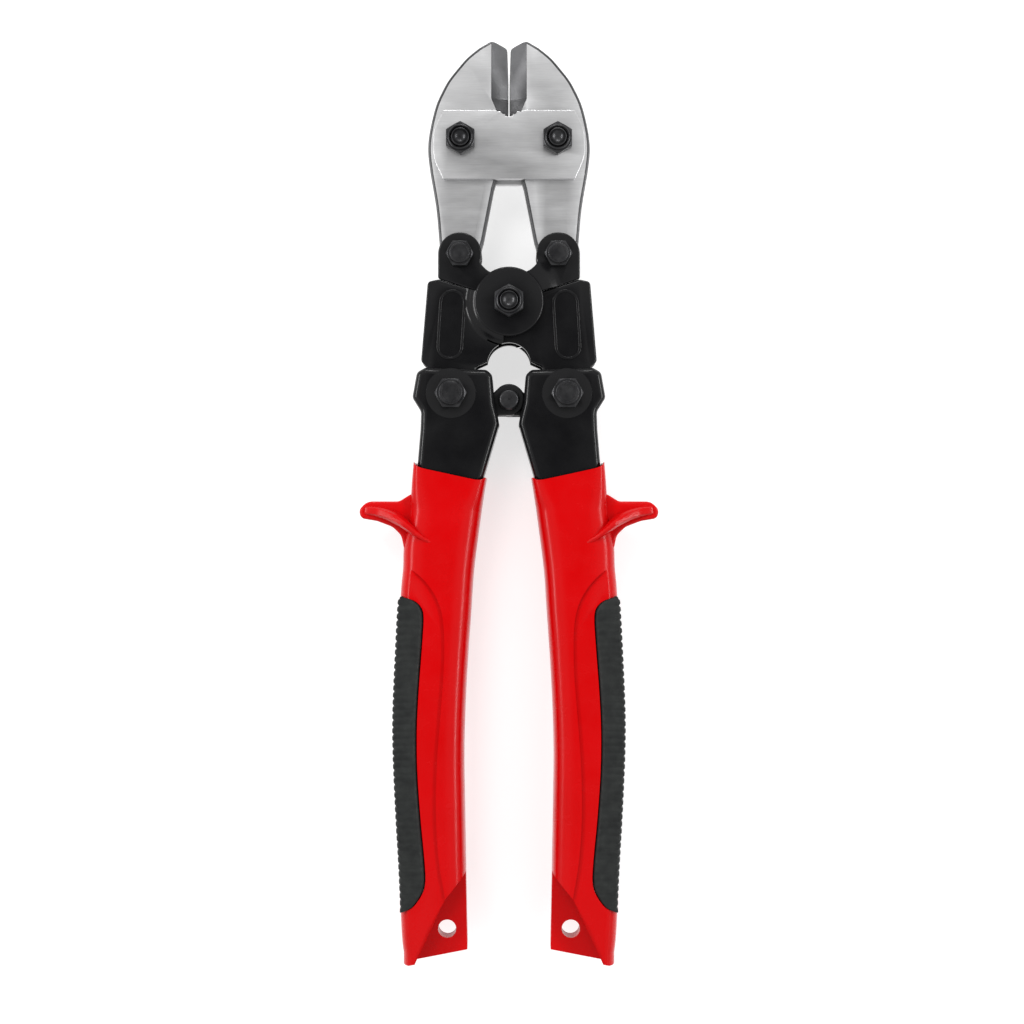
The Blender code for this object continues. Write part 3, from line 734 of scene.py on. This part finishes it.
def loft(name, stations, around):
    """A closed tube; each station is x, y, lean x, lean y, half width, half depth, squareness."""
    bpy.ops.object.select_all(action="DESELECT")
    bpy.ops.mesh.primitive_grid_add(x_subdivisions=around, y_subdivisions=len(stations) - 1,
                                    size=0.01)
    tube = bpy.context.object
    tube.name = name
    for index, vertex in enumerate(tube.data.vertices):
        row, column = divmod(index, around + 1)
        x, y, lean_x, lean_y, width, depth, power = stations[row]
        turn = 2 * math.pi * column / around
        c, s = math.cos(turn), math.sin(turn)
        across = math.copysign(abs(c) ** (2 / power), c) * width
        vertex.co = at(x + across * lean_x, y + across * lean_y,
                       math.copysign(abs(s) ** (2 / power), s) * depth)
    bpy.ops.object.mode_set(mode="EDIT")
    bpy.ops.mesh.select_all(action="SELECT")
    bpy.ops.mesh.remove_doubles(threshold=0.000004)
    bpy.ops.mesh.select_all(action="DESELECT")
    bpy.ops.mesh.select_mode(type="EDGE")
    bpy.ops.mesh.select_non_manifold()
    bpy.ops.mesh.edge_face_add()
    bpy.ops.mesh.select_all(action="SELECT")
    bpy.ops.mesh.normals_make_consistent(inside=False)
    bpy.ops.object.mode_set(mode="OBJECT")
    return tube


OUTER_EDGE = flowing([(-31.4, -52.9), (-31.9, -58.0), (-32.4, -64.0), (-33.4, -72.0),
                      (-34.8, -80.0), (-35.1, -87.7), (-35.9, -97.1), (-37.0, -125.0),
                      (-37.4, -148.5), (-36.4, -178.0), (-35.9, -200.3), (-35.4, -210.3),
                      (-34.9, -214.5)], 5)
INNER_EDGE = flowing([(-7.4, -57.9), (-8.4, -64.0), (-9.8, -74.1), (-11.6, -88.3), (-12.6, -102.7),
                      (-13.6, -116.9), (-14.5, -133.7), (-14.9, -150.0), (-14.7, -165.0),
                      (-14.3, -188.0), (-13.8, -212.6)], 5)
CREASE = flowing([(-38.0, -86.0), (-34.5, -86.9), (-31.5, -88.4), (-27.8, -91.6),
                  (-24.4, -96.2), (-22.1, -102.0), (-21.2, -110.0), (-21.4, -122.0),
                  (-22.6, -138.0), (-23.6, -152.0), (-23.9, -168.0), (-23.0, -183.0),
                  (-20.9, END + 22.1)], 6)
CREASE_STEP = 0.8
FIN_LINE = flowing([(-25.2, -79.3), (-28.5, -77.6), (-32.0, -75.0), (-35.5, -72.3),
                    (-39.5, -70.2), (-44.0, -69.0), (-47.4, -68.7)], 6)


def sleeve_stations():
    """Stations down the grip, nearly square at the mouth and rounder further down."""
    stations = []
    count = 150
    for i in range(count):
        y = SLEEVE_TOP - (SLEEVE_TOP - END + 1.0) * i / (count - 1)
        outer, inner = read_line(OUTER_EDGE, y), read_line(INNER_EDGE, y)
        square = min(11.0, 4.2 + 7.0 * max(0.0, 1.0 - (-52.0 - y) / 16.0))
        stations.append(((outer + inner) / 2, y, 1.0, 0.0, (inner - outer) / 2,
                         HALF - FACE_INSET, square))
    return stations


def fin_stations():
    """Stations along the ridge that runs from the face of the grip out to the guard's tip."""
    stations = []
    for i, (x, y) in enumerate(FIN_LINE):
        t = i / (len(FIN_LINE) - 1)
        before, after = FIN_LINE[max(0, i - 1)], FIN_LINE[min(len(FIN_LINE) - 1, i + 1)]
        run = Vector((after[0] - before[0], after[1] - before[1])).normalized()
        swell = 1.5 * math.sin(math.pi * min(1.0, t * 1.25))
        rise = HALF - 0.3 + swell - 3.4 * max(0.0, t - 0.45) / 0.55
        stations.append((x, y, -run.y, run.x, 1.1 + 1.2 * min(1.0, t * 1.6), rise, 3.0))
    return stations


def press_crease(sleeve):
    """Sinks the part of each face that lies outside the crease, down to the end of the grip."""
    outline = CREASE + [(-30.8, END + 0.8), (-31.6, END - 4.0), (-60.0, END - 4.0), (-60.0, -86.0)]
    for side in (1, -1):
        low, high = sorted((side * (HALF - FACE_INSET - CREASE_STEP), side * (HALF + 3.0)))
        carve(sleeve, plate("press", outline, low, high))


def make_sleeve():
    sleeve = loft("grip_left", sleeve_stations(), 96)
    top = plate("top", [(-60, -40), (-60, -51.0), (-31.4, -52.75), (-7.4, -58.0), (0, -59.6),
                        (0, -40)], -THROUGH, THROUGH)
    foot = plate("foot", [(-60, END - 20), (0, END - 20), (0, END + 6.3), (-13.5, END + 3.9),
                          (-31.5, END + 0.4), (-33.0, END), (-60, END)], -THROUGH, THROUGH)
    carve(sleeve, top, foot)
    press_crease(sleeve)
    for side in (1, -1):
        low, high = sorted((side * (HALF - 1.5), side * (HALF + 2.0)))
        slope = plate("slope", [(-60, -40), (-60, -46.6), (0, -59.7), (0, -40)], low, high)
        for vertex in slope.data.vertices:
            _, y, z = (vertex.co - HUB) / MM
            if y < -45 and abs(z) > HALF:
                vertex.co.y -= 3.5 * MM
        carve(sleeve, slope)
    guard = plate("guard", rounded([(-30.0, GUARD + 3.5), (-33.0, GUARD + 2.0, 1.0),
                                    (-36.2, GUARD, 3.0), (-46.8, GUARD, 4.5),
                                    (-49.5, GUARD - 2.8, 3.0), (-48.8, GUARD - 5.6, 2.6),
                                    (-43.4, GUARD - 6.5, 6.0), (-38.4, GUARD - 8.4, 5.0),
                                    (-35.5, GUARD - 11.2, 4.0), (-34.6, GUARD - 15.6, 1.0),
                                    (-30.0, GUARD - 16.0)]), -GUARD_HALF, GUARD_HALF)
    carve(sleeve, soften(guard, 1.6, 4, 40), how="UNION")
    return carve(sleeve, loft("fin", fin_stations(), 24), how="UNION")


def cut_sleeve(sleeve):
    """Opens the sleeve for the handle steel and its tang, thins the hanging tab and drills its
    hole.
    """
    core = plate("mouth", rounded(core_corners()), -OUTER, OUTER)
    carve(core, plate("above", [(-60, -10), (-60, -45), (10, -45), (10, -10)],
                      -THROUGH, THROUGH))
    apply(core, "DISPLACE", strength=0.25 * MM, mid_level=0.0)
    end = TANG_END - GAP
    pocket = plate("pocket", [(-10.0, BOX_END + 3), (-28.9, BOX_END + 3), (-25.7, -90.7),
                              (-25.3, end), (-17.7, end), (-16.1, -103.7)],
                   -TANG_HALF - GAP, TANG_HALF + GAP)
    carve(sleeve, core, pocket)
    for side in (1, -1):
        low, high = sorted((side * TAB_HALF, side * THROUGH))
        recess = plate("recess", [(-9.0, END + 31.0), (-14.4, END + 29.9), (-20.9, END + 22.1),
                                  (-30.8, END + 0.8), (-31.6, END - 4.0), (-9.0, END - 4.0)],
                       low, high)
        carve(sleeve, recess)
    return drill(sleeve, (-20.5, END + 10.7), HANG_HOLE)


# Rubber grip inserts
# Charcoal rubber moulded into the recess on the outer side of each grip. Its outer edge is cut in
# fine teeth, and shallow waves run across both faces.

def grip_rubber():
    rubber = Finish("grip_rubber", (0.018, 0.020, 0.019), 0.55)
    rubber.set("Specular IOR Level", 0.2)
    greys = [(0.3, (0.010, 0.011, 0.011)), (0.75, (0.020, 0.022, 0.021))]
    rubber.feed("Base Color", rubber.ramp(rubber.noise(300, detail=5.0), greys))
    rubber.feed("Roughness", rubber.ramp(rubber.noise(500), [(0.3, 0.46), (0.7, 0.68)]))
    rubber.bump(rubber.noise(1300, detail=3.0), 0.00006, 0.5)
    return rubber.material


RUBBER = grip_rubber()
INSERT_TOP, INSERT_END = -97.1, END + 17.7
INSERT_OUTER = flowing([(-35.7, -97.1), (-36.6, -99.0), (-37.5, -115.0), (-38.3, -133.7),
                        (-38.3, -146.4), (-37.9, -157.6), (-37.2, -171.8), (-36.5, -183.4),
                        (-35.9, -196.0), (-35.8, -200.3)], 5)
INSERT_INNER = flowing([(-34.8, -97.1), (-31.2, -98.3), (-29.0, -100.4), (-28.2, -103.4),
                        (-28.5, -110.6), (-29.9, -129.5), (-30.4, -142.0), (-30.2, -155.0),
                        (-29.2, -169.5), (-27.9, -183.4), (-27.6, -190.3), (-28.6, -194.3),
                        (-31.6, -198.6), (-34.9, -200.3)], 5)
TOOTH, TOOTH_DEPTH = 2.35, 0.55
SEAM = 0.22
INSERT_INSET = 0.4
FACE_LEVEL = 7.5        # points further than this from the middle plane lie on a face
WAVE_HEIGHT, WAVE_DRIFT = 0.22, 0.9
EDGE_DROP, EDGE_WIDTH = 0.25, 1.3       # the face falls off towards its inner edge


def notch_outline():
    """All that lies outside the insert's inner edge, with a hair's width left for the seam."""
    edge = [(x + SEAM, y) for x, y in INSERT_INNER]
    return [(-60.0, INSERT_TOP + SEAM), (edge[0][0], INSERT_TOP + SEAM)] + edge + [
        (edge[-1][0], INSERT_END - SEAM), (-60.0, INSERT_END - SEAM)]


def insert_stations():
    """Stations close enough together to cut the teeth in the outer edge."""
    stations = []
    count = 460
    for i in range(count):
        y = INSERT_TOP + (INSERT_END - INSERT_TOP) * i / (count - 1)
        outer, inner = read_line(INSERT_OUTER, y), read_line(INSERT_INNER, y)
        phase = abs(((y / TOOTH) % 1.0) - 0.5) * 2
        if i not in (0, count - 1):
            outer += TOOTH_DEPTH * (1.0 - min(1.0, phase * 1.8))
        stations.append(((outer + inner) / 2, y, 1.0, 0.0, (inner - outer) / 2,
                         HALF - INSERT_INSET, 14.0))
    return stations


def make_insert():
    """The insert with its waves, which fade out towards both edges of a face."""
    insert = loft("insert_left", insert_stations(), 64)
    for vertex in insert.data.vertices:
        x, y, z = (vertex.co - HUB) / MM
        outer, inner = read_line(INSERT_OUTER, y), read_line(INSERT_INNER, y)
        inside = max(0.0, min(1.0, (inner - x) / 1.6)) * max(0.0, min(1.0, (x - outer) / 0.8))
        if abs(z) > FACE_LEVEL:
            wave = math.sin(2 * math.pi * (y + WAVE_DRIFT * math.sin(x * 1.1)) / (2 * TOOTH))
            vertex.co.z += math.copysign(WAVE_HEIGHT * wave * inside * MM, z)
            edge = max(0.0, 1.0 - (inner - x) / EDGE_WIDTH)
            vertex.co.z -= math.copysign(EDGE_DROP * edge * MM, z)
    return insert


left_sleeve = cut_sleeve(make_sleeve())
carve(left_sleeve, plate("notch", notch_outline(), -THROUGH, THROUGH))
left_insert = make_insert()
right_sleeve = turned_over(left_sleeve, "grip_right")
right_insert = turned_over(left_insert, "insert_right")
fit(left_sleeve, "sleeve_left", VINYL, 30)
fit(right_sleeve, "sleeve_right", VINYL, 30)
fit(left_insert, "grip_insert_left", RUBBER, 30)
fit(right_insert, "grip_insert_right", RUBBER, 30)


# Table, light and camera
# A plain white table under the tool, a soft key light, long strips on both sides and beyond the
# jaws that draw thin bright lines along the edges, white walls, and a camera straight above.

SIDE_STRIP, FAR_STRIP = (0.7, 0.14), (0.6, 0.12)
SENSOR = 36.0
DISTANCE, VIEW_WIDTH = 0.600, 0.338     # from the camera to the tool, and what it sees there


def make_table():
    bpy.ops.object.select_all(action="DESELECT")
    bpy.ops.mesh.primitive_plane_add(size=4.0, location=(0, 0, cad_box[0][2] - 0.0002))
    table = bpy.context.object
    table.name = "table"
    paper = Finish("white_table", (0.48, 0.48, 0.48), 0.9)
    paper.feed("Base Color", paper.ramp(paper.noise(6, detail=2.0), [(0.3, 0.475), (0.7, 0.485)]))
    paper.set("Emission Color", (1.0, 1.0, 1.0, 1.0))
    paper.set("Emission Strength", 0.66)
    table.data.materials.append(paper.material)


def area_light(name, place, aim, size, power, glossy):
    bpy.ops.object.light_add(type="AREA", location=place)
    light = bpy.context.object
    light.name = name
    light.data.shape = "RECTANGLE"
    light.data.size, light.data.size_y = size
    light.data.energy = power
    light.rotation_euler = (Vector(aim) - Vector(place)).to_track_quat("-Z", "Y").to_euler()
    light.visible_glossy = glossy


def light_the_room(world):
    """White walls all round, and a darker ceiling above the table."""
    tree = world.node_tree
    place = tree.nodes.new("ShaderNodeTexCoord")
    split = tree.nodes.new("ShaderNodeSeparateXYZ")
    ramp = tree.nodes.new("ShaderNodeValToRGB")
    ramp.color_ramp.elements[0].position = 0.965
    ramp.color_ramp.elements[0].color = (1.0, 1.0, 1.0, 1.0)
    ramp.color_ramp.elements[1].position = 0.992
    ramp.color_ramp.elements[1].color = (0.04, 0.04, 0.04, 1.0)
    tree.links.new(place.outputs["Generated"], split.inputs["Vector"])
    tree.links.new(split.outputs["Z"], ramp.inputs["Fac"])
    tree.links.new(ramp.outputs["Color"], tree.nodes["Background"].inputs["Color"])
    tree.nodes["Background"].inputs["Strength"].default_value = 0.72


make_table()
area_light("key_light", (-0.25, 0.55, 0.85), (0, 0, 0), (0.4, 0.3), 3.0, False)
area_light("left_strip", (-0.78, 0.15, 0.58), (0, 0, 0), SIDE_STRIP, 4.5, True)
area_light("right_strip", (0.78, 0.05, 0.58), (0, 0, 0), SIDE_STRIP, 4.5, True)
area_light("far_strip", (0.0, 0.95, 0.55), (0, 0, 0), FAR_STRIP, 3.0, True)
scene.world = bpy.data.worlds.new("studio")
scene.world.use_nodes = True
light_the_room(scene.world)

bpy.ops.object.camera_add(location=(0.0010, HUB.y - 0.0692, HUB.z + 0.606), rotation=(0, 0, 0))
camera = bpy.context.object
camera.data.sensor_width = SENSOR
camera.data.lens = SENSOR * DISTANCE / VIEW_WIDTH
scene.camera = camera
